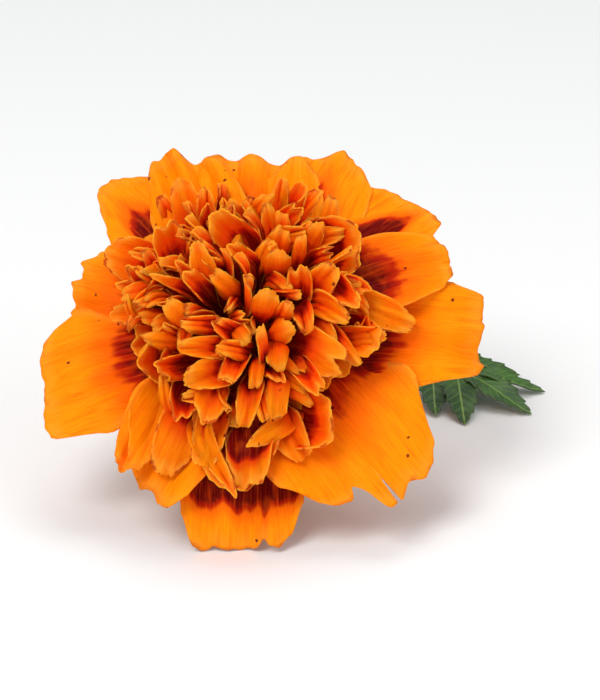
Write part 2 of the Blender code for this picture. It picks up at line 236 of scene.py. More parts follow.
def petalShape(plan):
    # one petal from its claw, in millimetres, with its upper side up
    along = np.linspace(0.0, 1.0, plan["rows"] + 1)[:, None]
    across = np.linspace(-1.0, 1.0, plan["columns"] + 1)[None, :]
    waves = chance.uniform(0.0, fullTurn, 10)
    end, length = petalEnd(plan, across, waves)
    distance = along * (1.0 - (1.0 - end) * along ** 1.7) * length

    opening = smooth(*plan["opens"], along)
    half = blend(plan["claw"], plan["width"] / 2.0, opening)
    half = half * (1.0 - plan["narrows"] * smooth(0.72, 1.0, along))
    half = half * (1.0 + 1.6 * plan["crimp"] * np.sin(19.0 * along + waves[2]) * opening)

    # how far the surface rises: ruffles at the margin, ridges along the petal, and one slow wave
    margin = np.maximum(np.abs(across) ** 3 * opening, smooth(0.55, 1.0, along) ** 2)
    around = np.arctan2(across, 1.3 * (along - 0.3))
    ruffle = np.sin(5.0 * around + waves[3]) + 0.6 * np.sin(9.0 * around + waves[4])
    rise = plan["ruffle"] * margin * ruffle * opening
    ridges = np.cos(math.pi * (3.1 * across + 0.5 * np.sin(waves[5]))) + 0.5 * np.cos(9.0 * across + waves[8])
    rise = rise + plan["pleat"] * ridges * smooth(0.2, 0.6, along) * (1.0 - 0.4 * along)
    rise = rise + plan["warp"] * np.sin(2.2 * across + waves[6]) * np.sin(3.0 * along + waves[7]) * opening

    # the section across: an arc that closes as cup grows, bent up on one side by fold, then turned by twist
    cup = np.radians(plan["cup"]) * smooth(0.0, 0.45, along) + 1e-4
    bent = np.radians(plan["fold"]) * smooth(0.15, 0.55, along)
    side = np.maximum(across * np.sign(plan["fold"] + 1e-9) - 0.1, 0.0) * half
    sideways = np.sin(cup * across) / cup * half - np.sign(plan["fold"]) * side * (1.0 - np.cos(bent))
    upward = (1.0 - np.cos(cup * across)) / cup * half + rise + side * np.sin(np.abs(bent))
    turn = np.radians(plan["twist"]) * along ** 1.3
    lateral = sideways * np.cos(turn) - upward * np.sin(turn) + plan["sweep"] * along ** 2
    normalWay = sideways * np.sin(turn) + upward * np.cos(turn)

    marks = petalMarks(plan, along, across, distance, waves)
    flat = patternMap(across * half, distance)
    if "tip" in plan:
        return followLine(plan, distance / length, lateral, normalWay), flat, marks

    # the middle line of an outer petal, which leans from its first angle to its last
    steps = np.linspace(0.0, length, 160)
    lean = np.radians(blend(*plan["lean"], (steps / length) ** plan["bend"]))
    steps = steps / np.cos(lean).mean()
    distance = distance * steps[-1] / length
    out = runningSum(np.cos(lean[1:]) * steps[1]) + plan["root"][0]
    up = runningSum(np.sin(lean[1:]) * steps[1]) + plan["root"][1]
    leanHere = np.interp(distance, steps, lean)
    x = np.interp(distance, steps, out) - np.sin(leanHere) * normalWay
    z = np.interp(distance, steps, up) + np.cos(leanHere) * normalWay + plan["lift"] * smooth(0.0, 0.3, along)
    spun = np.array(Matrix.Rotation(math.radians(plan["azimuth"]), 3, "Z"))
    return layers(x, lateral, z) @ spun.T, flat, marks


def buildPetal(name, plan, finishes, node=None):
    plan = {**petalBasics, **plan}
    grid, flat, marks = petalShape(plan)
    grid = toWorld(grid)
    thick = plan["thick"] * mm * (1.0 - 0.5 * marks["nearEdge"][..., None] ** 8)
    over = gridNormals(grid) * thick / 2.0
    flat = flat + np.array([chance.integers(1, 40) * 1.37, chance.integers(1, 40) * 1.13])
    addPiece(sheetMesh(name, grid + over, grid - over, flat, marks), finishes, node)


# Shader helpers

def feed(tree, sockets, values):
    # each value is another node's socket, a number, a vector or a colour
    for key, value in values.items():
        if isinstance(value, bpy.types.NodeSocket):
            tree.links.new(value, sockets[key])
        else:
            sockets[key].default_value = (*value, 1.0) if sockets[key].type == "RGBA" else value


def shade(tree, kind, values, **settings):
    node = tree.nodes.new("ShaderNode" + kind)
    for key, value in settings.items():
        setattr(node, key, value)
    feed(tree, node.inputs, values)
    return node.outputs


def step(tree, operation, first, second=0.0):
    return shade(tree, "Math", {0: first, 1: second}, operation=operation)[0]


def ramp(tree, value, low, high):
    values = {"Value": value, "From Min": low, "From Max": high}
    return shade(tree, "MapRange", values, interpolation_type="SMOOTHSTEP")["Result"]


def mixColor(tree, share, first, second):
    return shade(tree, "Mix", {0: share, 6: first, 7: second}, data_type="RGBA")[2]


def stretched(tree, vector, scale):
    return shade(tree, "Mapping", {"Vector": vector, "Scale": scale})[0]


def noise(tree, vector, scale, detail=3.0, rough=0.5):
    values = {"Vector": vector, "Scale": scale, "Detail": detail, "Roughness": rough}
    return shade(tree, "TexNoise", values)[0]


def cells(tree, vector, scale):
    return shade(tree, "TexVoronoi", {"Vector": vector, "Scale": scale})["Distance"]


def mark(tree, label):
    return shade(tree, "Attribute", {}, attribute_name=label)["Fac"]


def bump(tree, height, strength, distance):
    return shade(tree, "Bump", {"Height": height, "Strength": strength, "Distance": distance})[0]


def newGroup(name, colors, numbers):
    # a group that reads a pattern map, colours and numbers, and gives a colour, a height and a dullness
    group = bpy.data.node_groups.new(name, "ShaderNodeTree")
    sockets = (("INPUT", "Vector", ["Map"]), ("INPUT", "Color", colors), ("INPUT", "Float", numbers),
               ("OUTPUT", "Color", ["Color"]), ("OUTPUT", "Float", ["Height", "Dull"]))
    for direction, kind, labels in sockets:
        for label in labels:
            group.interface.new_socket(label, in_out=direction, socket_type="NodeSocket" + kind)
    return group, group.nodes.new("NodeGroupInput").outputs, group.nodes.new("NodeGroupOutput").inputs


def blankFinish(name):
    material = bpy.data.materials.new(name)
    material.use_nodes = True
    tree = material.node_tree
    return material, tree, tree.nodes["Principled BSDF"].inputs


def groupFinish(name, family, look):
    # a material whose colour, relief and roughness come from the family's shader group
    look = {**family, **look}
    material, tree, shader = blankFinish(name)
    where = shade(tree, "UVMap", {}, uv_map="petalMap")[0]
    if "stretch" in look:
        where = stretched(tree, where, look["stretch"])
    marks = {label: mark(tree, source) for label, source in look["marks"].items()}
    skin = shade(tree, "Group", {"Map": where, **marks, **look["skin"]}, node_tree=look["group"])
    rough = {"Value": skin["Dull"], "To Min": look["rough"] - 0.08, "To Max": look["rough"] + look["duller"]}
    feed(tree, shader, {
        "Base Color": skin["Color"], "Roughness": shade(tree, "MapRange", rough)[0],
        "Normal": bump(tree, skin["Height"], look["relief"], 0.0002), "Specular IOR Level": look["gloss"],
        "Subsurface Weight": look["glow"], "Subsurface Radius": look["soft"],
        "Subsurface Scale": look["depth"],
    })
    return material


# laid over the colours that each finish gives; the dark rim tint is painted shade along the margins, the lit
# rim a painted highlight, and the streak tint painted pleat shade
flameTints = {
    "veins": (0.66, 0.045, 0.0005), "streaksAndShade": (0.86, 0.080, 0.0005), "mottle": (0.86, 0.10, 0.0005),
    "litRim": (1.0, 0.33, 0.030), "rimShade": (0.26, 0.007, 0.003), "specks": (0.09, 0.006, 0.006),
}


def makeFlameGroup():
    # petal colour: a dark heart that feathers out along the veins into orange, with a painted highlight on
    # the lit rim, painted shade along the margins, and painted pleat shade in the streaks
    numbers = ("Flame", "Edge", "Feather", "Lit Rim", "Rim Shade", "Specks")
    group, start, finish = newGroup("petalFlame", ("Heart", "Flush", "Body", "Tip"), numbers)
    tone, mix, many = (partial(tool, group) for tool in (ramp, mixColor, noise))
    times, plus = partial(step, group, "MULTIPLY"), partial(step, group, "ADD")
    streaksAndShade = many(stretched(group, start["Map"], (46.0, 4.0, 1.0)), 1.0, 3.0, 0.55)
    veins = many(stretched(group, start["Map"], (190.0, 9.0, 1.0)), 1.0, 2.0)
    mottle = many(start["Map"], 14.0)
    grain = many(start["Map"], 320.0, 2.0)
    feather = times(plus(streaksAndShade, -0.5), start["Feather"])
    cloud = times(plus(mottle, -0.5), 0.45)
    flame = plus(plus(start["Flame"], feather), cloud)
    color = mix(tone(flame, 0.55, 0.92), start["Heart"], start["Flush"])
    color = mix(tone(flame, 0.86, 1.22), color, start["Body"])
    color = mix(tone(flame, 1.12, 2.2), color, start["Tip"])
    color = mix(times(tone(veins, 0.45, 0.72), 0.30), color, flameTints["veins"])
    # painted shade: darker bands along the streaks, standing in for the shadows of pleats; the same streaks
    # also feather the heart and raise the relief
    color = mix(times(tone(streaksAndShade, 0.50, 0.70), 0.38), color, flameTints["streaksAndShade"])
    color = mix(times(tone(mottle, 0.52, 0.75), 0.25), color, flameTints["mottle"])
    lit = times(tone(start["Edge"], 0.88, 0.98), tone(mottle, 0.25, 0.60))
    color = mix(times(lit, start["Lit Rim"]), color, flameTints["litRim"])
    # painted shade: a thin dark line along the margins, standing in for the shadows and gaps between
    # overlapping petals and florets
    dark = times(times(tone(start["Edge"], 0.955, 0.985), start["Rim Shade"]), tone(mottle, 0.50, 0.60))
    color = mix(dark, color, flameTints["rimShade"])
    near = plus(cells(group, start["Map"], 12.0), times(many(start["Map"], 60.0, 1.0), 0.12))
    speck = times(step(group, "SUBTRACT", 1.0, tone(near, 0.115, 0.150)), start["Specks"])
    color = mix(speck, color, flameTints["specks"])
    height = plus(plus(times(veins, 0.7), times(grain, 0.25)), times(streaksAndShade, 0.6))
    feed(group, finish, {"Color": color, "Height": height, "Dull": mottle})
    return group


petalFamily = {
    "group": makeFlameGroup(), "marks": {"Flame": "fromHeart", "Edge": "nearEdge"},
    "duller": 0.12, "gloss": 0.04, "soft": (1.0, 0.30, 0.03),
}
petalFinishes = {
    "outerPetalFace": {"rough": 0.60, "relief": 0.35, "glow": 0.15, "depth": 0.0012, "skin": {
        "Heart": (0.11, 0.0008, 0.001), "Flush": (0.40, 0.010, 0.0005), "Body": (0.93, 0.145, 0.0005),
        "Tip": (1.0, 0.262, 0.0008), "Feather": 0.60, "Lit Rim": 0.4, "Rim Shade": 0.3, "Specks": 0.9}},
    "outerPetalBack": {"rough": 0.64, "relief": 0.5, "glow": 0.15, "depth": 0.0012, "skin": {
        "Heart": (0.50, 0.15, 0.010), "Flush": (0.66, 0.17, 0.006), "Body": (0.80, 0.19, 0.003),
        "Tip": (0.92, 0.235, 0.002), "Feather": 0.8, "Lit Rim": 0.3, "Rim Shade": 0.2}},
    "innerPetalFace": {"rough": 0.58, "relief": 0.35, "glow": 0.55, "depth": 0.0022, "skin": {
        "Heart": (0.13, 0.0006, 0.001), "Flush": (0.42, 0.008, 0.0004), "Body": (0.85, 0.066, 0.0005),
        "Tip": (0.98, 0.200, 0.001), "Feather": 0.45, "Lit Rim": 0.8, "Rim Shade": 0.8, "Specks": 0.9}},
    "innerPetalBack": {"rough": 0.60, "relief": 0.4, "glow": 0.55, "depth": 0.0022, "skin": {
        "Heart": (0.18, 0.002, 0.001), "Flush": (0.50, 0.016, 0.0005), "Body": (0.85, 0.074, 0.0005),
        "Tip": (0.98, 0.188, 0.001), "Feather": 0.5, "Lit Rim": 0.7, "Rim Shade": 0.7, "Specks": 0.6}},
}
finishes = [groupFinish(name, petalFamily, look) for name, look in petalFinishes.items()]
outerSides, innerSides = finishes[:2], finishes[2:]
innerFace = innerSides[0]
print("petal finishes made")

# Outer ray petals, counter-clockwise from the right: azimuth, width, lift, lean at root and tip, cup, blotch,
# how far from the axis the end reaches from side to side, and what else is its own
outerPetals = (
    (0.3, 19.6, -0.1, (9, -22), 4, 16.8, (24.0, 32.6, 34.2, 34.0, 33.5, 34.0, 34.4, 34.2, 30.0),
     {"ruffle": 0.8, "pleat": 0.5, "fade": 6.0, "blotchWide": 0.4}),
    (22.5, 12.6, 2.4, (10, -24), 0, 18.1, (25.0, 29.4, 31.1, 31.5, 31.9, 31.6, 31.7, 31.4, 27.5),
     {"blotchWide": 0.3, "fade": 7.5, "pleat": 0.3, "ruffle": 0.35}),
    (39, 15.5, 0.9, (10, -24), 0, 24.2, (26.0, 29.9, 33.6, 34.2, 33.7, 33.0, 32.0, 30.6, 28.8),
     {"blotchWide": 1.2, "fade": 4.0, "pleat": 0.2, "ruffle": 0.25}),
    (65, 15.8, -0.5, (15, -17), 4, 19.4, (28.2, 29.8, 31.2, 32.8, 33.7, 31.8, 29.6, 28.4, 25.0),
     {"blotchWide": 0.9, "fade": 6.0, "ruffle": 0.4, "pleat": 0.4}),
    (88, 21.0, 0.0, (16, -13), 6, 14.5, (25.5, 28.0, 28.2, 28.2, 28.3, 28.5, 28.4, 28.2, 27.6, 25.0),
     {"pleat": 0.95, "fade": 6.0, "ruffle": 0.3, "crimp": 0.004}),
    (111, 14.5, 0.7, (16, -13), 14, 13.0, (24.0, 27.0, 27.8, 29.2, 30.7, 31.0, 30.3, 28.0, 22.5),
     {"pleat": 0.85}),
    (131, 14.0, -0.6, (12, -18), 14, 20.7, (28.0, 30.2, 32.2, 33.2, 33.4, 32.0, 29.4, 26.0, 22.5),
     {"blotchWide": 1.1, "fade": 4.0}),
    (161, 20.0, -0.5, (8, -18), 6, 13.5, (20.0, 23.6, 24.4, 27.2, 25.6, 26.6, 25.6, 26.2, 24.6, 25.2, 22.5),
     {"crimp": 0.012, "twist": -6, "ruffle": 0.9, "pleat": 0.8}),
    (196, 22.0, 0.1, (8, -22), 4, 13.4, (22.5, 26.8, 28.4, 29.6, 30.0, 30.2, 30.3, 30.8, 31.2, 30.6, 23.0),
     {"opens": (-0.12, 1.0), "blotchWide": 0.25, "fade": 5.5, "ruffle": 0.6, "pleat": 0.5}),
    (238, 16.0, 0.8, (8, -24), 22, 7.5, (20.5, 22.6, 25.0, 26.8, 28.2, 27.4, 28.6, 28.4, 25.5),
     {"fold": -40, "pleat": 0.5}),
    (269, 18.0, -0.5, (6, -42), -4, 19.8,
     (26.0, 30.4, 31.2, 30.7, 30.9, 30.9, 30.7, 29.9, 30.4, 28.8, 24.4),
     {"notches": ((0.36, 0.038, 0.06), (-0.46, 0.018, 0.05)),
     "tongues": ((0.36, 2.4, 0.06), (-0.52, 0.8, 0.08)), "blotchWide": 0.10, "fade": 2.4, "narrows": 0.04,
     "pleat": 0.4, "columns": 70}),
    (311, 26.0, 0.3, (9, -22), 2, 11.8, (22.0, 27.0, 28.9, 29.8, 33.6, 33.6, 32.4, 33.2, 32.4, 30.2, 23.0),
     {"tears": ((-0.9, 4.2, 0.30), (-4.6, 2.0, 1.0)), "blotchWide": 0.35, "ruffle": 0.9, "pleat": 0.5,
     "columns": 74, "tongues": ((0.1, 1.6, 0.1), (-0.35, 1.2, 0.08))}),
)
outerKeys = ("azimuth", "width", "lift", "lean", "cup", "blotch", "edge")
for number, (*row, own) in enumerate(outerPetals, 1):
    plan = {**dict(zip(outerKeys, row)), **own}
    buildPetal(f"ray_petal_{number:02d}", plan, outerSides, f"outer_petal_{number:02d}")
print("outer petals laid")

# Inner petals and crest florets are placed as they show from the front, which is below the head's axis
frontTurn = math.radians(27.0)
sight = np.array([0.0, -math.sin(frontTurn), math.cos(frontTurn)])
rightWay = np.array([1.0, 0.0, 0.0])
upWay = np.array([0.0, math.cos(frontTurn), math.sin(frontTurn)])

# the domed receptacle that they grow from, in millimetres
receptacle = {"radius": 5.9, "roots": 5.5, "rootsFrom": 14.0, "rootLow": 0.2, "rootRise": 4.7}

limbBasics = {
    "rows": 34, "columns": 24, "claw": 0.7, "narrows": 0.06, "round": 0.20, "power": 3.2, "crimp": 0.0075,
    "ruffle": 0.44, "pleat": 0.16, "warp": 0.42, "blotchWide": 0.15, "fade": 3.0, "turn": 0.0, "ragged": 0.12,
}
# shows says which side is seen: 1 the inside, -1 the back
# deep sets how far the dark heart reaches up the part that shows: partly the petals' own dark bases and
# partly painted shade down among the crowded florets
limbKinds = {
    "ball": {"shows": -1, "cup": 90.0, "curl": 64.0, "narrows": 0.14, "round": 0.22, "power": 2.8,
             "deep": 0.14},
    "flap": {"shows": 1, "cup": 26.0, "curl": -26.0, "deep": 0.32, "ruffle": 0.58},
    "scoop": {"shows": 1, "cup": 66.0, "curl": 24.0, "deep": 0.46, "ruffle": 0.46},
    "ribbon": {"shows": 1, "cup": 40.0, "curl": -15.0, "round": 0.30, "turn": 62.0, "deep": 0.36},
}

# how much each one differs from its kind, either way
limbVaries = {"twist": 12.0, "cup": 0.15, "curl": 16.0, "shift": 0.14, "sweep": 0.5}


def depthOf(up, height):
    # how far back along the disc a point lies that shows this far up, and below it the other way about
    return (up - height * upWay[2]) / upWay[1]


def shownUp(depth, height):
    return depth * upWay[1] + height * upWay[2]


def either(label):
    return chance.uniform(-limbVaries[label], limbVaries[label])


def limbPlan(kindName, across, up, width, long, aim, toward, height, *own):
    # aim is where the tip points as seen from the front, toward how far it tips to the viewer, in degrees
    kind = {**limbBasics, **limbKinds[kindName]}
    for values in own:
        kind.update(values)
    centre = np.array([across, depthOf(up, height), height])
    aim, toward, turn = math.radians(aim), math.radians(toward), math.radians(kind["turn"])
    flatWay = rightWay * math.cos(aim) + upWay * math.sin(aim)
    lastWay = flatWay * math.cos(toward) + sight * math.sin(toward)
    face = (sight * math.cos(toward) - flatWay * math.sin(toward)) * kind["shows"]
    side = np.cross(face, lastWay) * math.cos(turn) + face * math.sin(turn)
    base = centre - lastWay * long / 2.0
    reach = math.hypot(base[0], base[1])
    rootReach = receptacle["roots"] * min(1.0, (reach / receptacle["rootsFrom"]) ** 0.8)
    dome = math.sqrt(1.0 - (rootReach / receptacle["radius"]) ** 2)
    foot = np.append(base[:2] / reach * rootReach, receptacle["rootLow"] + receptacle["rootRise"] * dome)
    under = float(np.linalg.norm(base - foot))
    bendAt = under / (under + long)
    cup = math.radians(kind["cup"])
    return {
        **kind, "tip": centre + lastWay * long / 2.0, "foot": foot, "firstWay": unit(base - foot),
        "lastWay": lastWay, "side": side, "length": under + long, "bendAt": bendAt,
        "width": width * cup / math.sin(min(cup, math.pi / 2.0)), "blotch": under + kind["deep"] * long,
        "opens": (bendAt - 0.30, blend(bendAt, 1.0, 0.30)), "twist": either("twist"),
        "cup": kind["cup"] * (1.0 + either("cup")), "curl": kind["curl"] + either("curl"),
        "shift": chance.normal(0.0, limbVaries["shift"]), "sweep": either("sweep"),
    }


# kind, millimetres right, up, width, length, aim, toward, height over the disc, and what else is its own
middlePetals = (
    ("scoop", 13.9, 12.4, 9.6, 8.5, 10, 54, 8.5, {"cup": 58, "curl": -24, "deep": 0.62, "fade": 2.4}),
    ("flap", 19.6, 3.4, 5.0, 9.5, -22, 12, 5.4, {"cup": 18, "deep": 0.0}),
    ("scoop", 16.0, -0.8, 6.8, 8.0, -37, 46, 7.4, {"cup": 50, "curl": 4, "deep": 0.45, "round": 0.08,
     "power": 4.0}),
    ("scoop", 10.8, -11.8, 8.8, 7.5, -2, 48, 6.2, {"cup": 56, "deep": 0.45}),
    ("flap", 7.1, -14.7, 5.2, 5.4, -58, 12, 4.8, {"deep": 0.05}),
    ("scoop", 2.6, -13.5, 5.2, 8.7, -149, 22, 7.2, {"cup": 70, "round": 0.7, "power": 1.4, "deep": -0.1}),
    ("scoop", -1.2, -16.4, 12.5, 11.0, -92, 8, 3.6, {"cup": 42, "deep": 0.66, "round": 0.34, "fade": 3.0,
     "blotchWide": 0.5}),
    ("flap", 1.2, -18.0, 6.6, 6.0, -88, 12, 4.8, {"deep": 0.34, "cup": 46, "curl": 24, "fade": 1.5,
     "tongues": ((-0.7, 1.6, 0.3),)}),
    ("flap", -4.1, -18.2, 3.8, 10.4, -57, 12, 4.8, {"deep": -0.4, "cup": 40, "curl": 10, "round": 0.4,
     "power": 1.7}),
    ("scoop", -5.4, -15.0, 4.6, 7.6, -106, 14, 5.2, {"cup": 60, "deep": 0.0}),
    ("flap", -10.2, -15.2, 6.4, 8.5, -114, 10, 4.2, {"cup": 35, "deep": 0.1}),
    ("scoop", -13.0, -4.0, 8.2, 7.0, 192, 50, 6.6, {"cup": 60, "deep": 0.4}),
    ("scoop", -15.0, 6.9, 4.6, 8.0, 174, 12, 6.4, {"cup": 66, "round": 0.5, "power": 1.6}),
    ("flap", -15.3, 2.9, 5.0, 8.5, 184, 10, 5.4, {"cup": 40, "round": 0.4, "power": 1.8}),
    ("flap", -16.4, 10.7, 6.8, 8.5, 165, 12, 5.6, {"cup": 30, "deep": 0.3}),
    ("flap", -8.8, 19.4, 4.8, 7.0, 106, 16, 8.4, {"deep": 0.2}),
)


def nearestPlans(plans, spots):
    # which plan stands nearest to each spot of the disc, no plan being taken twice
    taken = {}
    for name, spot in spots.items():
        gaps = [(np.linalg.norm(spot - plan["tip"][:2]), i) for i, plan in enumerate(plans) if i not in taken]
        taken[min(gaps)[1]] = name
    return taken


def discSpot(distance, degrees):
    return distance * np.array([math.cos(math.radians(degrees)), math.sin(math.radians(degrees))])


middleBasics = {"rows": 44, "columns": 34, "thick": 0.34, "fade": 3.4}
plans = [limbPlan(*sizes, middleBasics, own) for *sizes, own in middlePetals]

# a ring of plainer folded petals lies under and between them
underPetals = {
    "count": 17, "out": (12.0, 13.6), "long": (7.0, 9.0), "width": (5.5, 8.0), "height": (3.6, 5.4),
    "lifted": {5: 1.5, 10: 1.2},  # millimetres more for these, clear of the outer petals' backs
    "gap": (250.0, 282.0),  # nothing hides the dark hollow of the lowest folded petal
}
for number in range(underPetals["count"]):
    degrees = 360.0 * number / underPetals["count"] + chance.uniform(-7.0, 7.0)
    spot = discSpot(chance.uniform(*underPetals["out"]), degrees)
    if underPetals["gap"][0] < degrees < underPetals["gap"][1]:
        continue
    height = chance.uniform(*underPetals["height"])
    up = shownUp(spot[1], height)
    size = (chance.uniform(*underPetals["width"]), chance.uniform(*underPetals["long"]))
    more = {"columns": 28, "fade": 3.8, "turn": chance.uniform(-12.0, 12.0)}
    height += underPetals["lifted"].get(number, 0.0)
    plans.append(limbPlan(["flap", "scoop"][number % 2], spot[0], up, *size, degrees, 24.0, height, more))
innerAzimuths = (0, 32, 57, 83, 107, 132, 160, 185, 207, 234, 263, 285, 306, 340)
spots = {f"inner_petal_{k:02d}": discSpot(19.0, turn) for k, turn in enumerate(innerAzimuths, 1)}
nodeOf = nearestPlans(plans, spots)
for index, plan in enumerate(plans):
    buildPetal(f"folded_petal_{index + 1:02d}", plan, innerSides, nodeOf.get(index))

turnedOwn = {"shows": -1, "rows": 46, "columns": 34, "cup": 34, "deep": -0.3}
turned = limbPlan("flap", -14.6, -13.0, 6.6, 13.0, -112, 4, 3.6, turnedOwn)
buildPetal("turned_petal", turned, outerSides)
print("inner petals laid")

# Crest: crowded florets over a low dome, the ones that show most listed one by one and the rest filling in
# between
crest = {
    "count": 225,
    "radius": 16.6,  # of the dome that the florets' mouths make, in millimetres
    "top": 15.6,
    "fall": 6.0,  # how much lower the dome is at its rim than at its top
    "apart": 1.55,  # how near to a listed floret a filling one may stand
    # the filling ones: shares of each kind, millimetres under or over the dome, width, length, and how far
    # they tip to the viewer at the middle, and how much less at the rim
    "kinds": {"ball": 0.34, "flap": 0.24, "scoop": 0.18, "ribbon": 0.24},
    "rise": (-2.6, 0.4), "width": (1.5, 3.1), "long": (3.2, 5.4), "toward": (28.0, 60.0), "flatter": 18.0,
    "nodes": ((12, 13.7, 0.0), (9, 9.0, 12.0), (5, 4.6, 31.0), (1, 0.0, 0.0)),
    # dark pits between the florets, as they show from the front: millimetres right, up, and radius
    "pits": (
        (-4.4, 5.4, 2.5), (-7.5, 5.5, 1.3), (-10.5, 6.3, 1.0), (3.4, 7.2, 1.3), (8.0, 10.4, 1.4),
        (7.5, -0.6, 1.7), (1.4, -1.5, 1.3), (-0.1, -5.2, 1.7), (-9.1, 11.6, 1.5), (0.8, 13.6, 1.5),
        (-14.5, -0.4, 2.2), (-14.2, -3.6, 1.6),
    ),
}
# kind, millimetres right, up, width, length, aim, toward, rise over the dome, and what else is its own
shownFlorets = (
    ("scoop", -2.2, 15.2, 5.6, 7.0, 131, 26, 0.6, {"cup": 60, "deep": 0.5}),
    ("flap", 4.6, 20.0, 3.0, 6.5, 80, 20, 0.0),
    ("scoop", 7.0, 20.4, 3.8, 5.0, 65, 20, 0.0, {"deep": 0.5}),
    ("flap", 8.4, 19.2, 2.8, 6.5, 50, 20, 0.6),
    ("ball", 11.7, 17.2, 3.0, 6.5, 78, 25, 1.5),
    ("ball", 4.6, 13.3, 3.4, 4.4, 70, 45, 0.6),
    ("ball", 4.3, 10.0, 3.9, 4.6, 84, 55, 1.4),
    ("ball", 7.6, 12.3, 2.2, 4.4, 86, 40, 0.4),
    ("ball", 9.8, 14.1, 2.8, 5.0, 60, 35, 0.4),
    ("scoop", 7.2, 8.1, 3.6, 5.0, 96, 35, 0.6, {"deep": 0.5}),
    ("flap", 10.7, 8.4, 4.6, 5.0, 52, 35, 0.6),
    ("scoop", 14.0, 5.8, 3.8, 6.4, -42, 40, 0.8),
    ("flap", 12.1, 3.8, 3.6, 6.0, -28, 30, 0.4),
    ("ball", 2.8, 4.1, 4.0, 5.2, 72, 52, 1.6),
    ("ball", 5.7, 3.2, 2.8, 3.6, 62, 50, 1.0),
    ("flap", 8.6, 2.6, 3.2, 4.6, -74, 35, 0.8),
    ("ball", 5.1, 0.7, 3.6, 3.6, 22, 45, 1.0),
    ("ball", 4.7, -2.6, 3.4, 5.0, -90, 35, 1.0),
    ("ribbon", 2.6, -0.9, 2.4, 5.2, 92, 20, 0.8),
    ("flap", -2.5, 1.2, 3.2, 4.2, 150, 35, 0.6),
    ("ball", -0.4, 0.4, 3.0, 3.6, -44, 45, 0.8),
    ("flap", -1.4, -1.9, 3.0, 4.8, 170, 30, 0.4),
    ("scoop", -1.8, -5.1, 3.2, 5.0, -112, 35, 0.4),
    ("flap", -6.2, -1.5, 3.2, 6.2, 178, 28, 0.6),
    ("flap", -5.6, -5.1, 4.6, 6.0, -166, 28, 0.6),
    ("ball", -9.1, 3.5, 3.6, 4.8, 130, 30, 0.6),
    ("flap", -6.2, 1.9, 2.8, 5.8, 175, 28, 0.4),
    ("flap", -5.9, 9.6, 3.8, 7.6, 108, 26, 0.8),
    ("scoop", -7.4, 7.4, 3.2, 5.4, 140, 30, 0.0),
    ("scoop", -10.4, 13.6, 5.4, 7.4, 110, 22, 0.6, {"cup": 70, "deep": 0.5}),
    ("flap", -10.6, 7.5, 3.0, 6.2, 160, 22, 0.4, {"round": 0.6, "power": 1.5}),
    ("ball", -2.8, 7.2, 3.0, 5.0, 135, 35, 0.4),
    ("ribbon", -0.1, 9.4, 2.2, 4.8, 105, 25, 0.8),
    ("scoop", -0.5, 11.6, 2.8, 6.4, 140, 25, 0.4, {"cup": 80}),
    ("ribbon", -2.4, 10.4, 2.0, 4.4, 96, 20, 0.4),
    ("ribbon", 0.5, 6.4, 2.2, 4.6, 86, 20, 0.4),
    ("ribbon", 12.6, 11.0, 2.4, 6.0, 28, 20, 0.6),
    ("flap", 11.6, 14.0, 3.2, 5.2, 12, 20, 0.0),
    ("flap", 10.8, -2.8, 6.4, 7.2, -28, 24, 0.4, {"notches": ((0.1, 0.12, 0.2),)}),
    ("flap", 14.2, -1.2, 2.4, 6.6, -48, 24, 0.4),
    ("flap", 16.4, 0.2, 3.4, 6.8, 6, 14, -0.6),
    ("ball", 5.0, -8.4, 3.5, 6.6, -88, 18, 1.0, {"curl": 40}),
    ("flap", 0.7, -9.6, 3.6, 6.2, -100, 20, 0.2),
    ("ball", 1.7, -5.2, 2.6, 4.4, -95, 35, 0.4),
    ("scoop", -11.0, -4.4, 3.8, 5.6, 184, 35, 0.4, {"curl": 60}),
    ("scoop", -8.8, -10.3, 4.4, 4.6, -95, 32, 0.0, {"curl": 55}),
    ("flap", -4.7, -9.7, 4.8, 6.4, -100, 22, 0.0, {"curl": 35}),
    ("ball", -11.7, -0.9, 2.6, 5.4, 170, 25, 0.4),
    ("scoop", 9.4, -6.0, 3.4, 5.4, -50, 28, 0.4, {"deep": 0.5}),
    ("ribbon", 6.0, 5.7, 2.2, 4.2, -20, 25, 0.6),
    ("ball", -10.7, -8.1, 2.4, 5.8, 95, 20, 0.6),
    ("ribbon", -6.2, 15.1, 2.4, 6.0, 130, 20, 0.4),
    ("flap", 3.6, 16.4, 2.6, 5.4, 100, 22, 0.0),
    ("scoop", 6.3, 17.4, 3.2, 5.2, 40, 24, 0.2),
    ("flap", -6.0, 18.8, 3.0, 5.6, 96, 18, 0.4, {"deep": 0.4}),
    ("ribbon", 1.3, 16.2, 2.4, 4.6, 115, 22, 0.6, {"deep": 0.45}),
    ("ribbon", -5.2, 13.0, 1.8, 6.0, 133, 22, 0.4, {"deep": 0.6}),
    ("ribbon", -4.2, 11.8, 1.7, 5.4, 128, 24, 0.6, {"deep": 0.6}),
    ("ribbon", -7.2, 13.9, 1.8, 5.6, 138, 20, 0.2, {"deep": 0.6}),
    ("ribbon", -4.0, 20.2, 2.2, 4.4, 76, 20, 0.2, {"deep": 0.5}),
    ("flap", -11.2, 18.4, 3.0, 5.4, 120, 18, 0.0, {"deep": 0.5}),
    ("ribbon", -8.0, 17.2, 2.0, 4.6, 104, 22, 0.4, {"deep": 0.5}),
)


def domeHeight(reach):
    return crest["top"] - crest["fall"] * (reach / crest["radius"]) ** 2.6


def onDome(across, up, rise):
    # the height of the place on the crest's dome that shows this far to the right of and above its middle
    height = crest["top"]
    for _ in range(14):
        reach = min(math.hypot(across, depthOf(up, height)), 20.0)
        height = 0.5 * height + 0.5 * (domeHeight(reach) + rise)
    return height


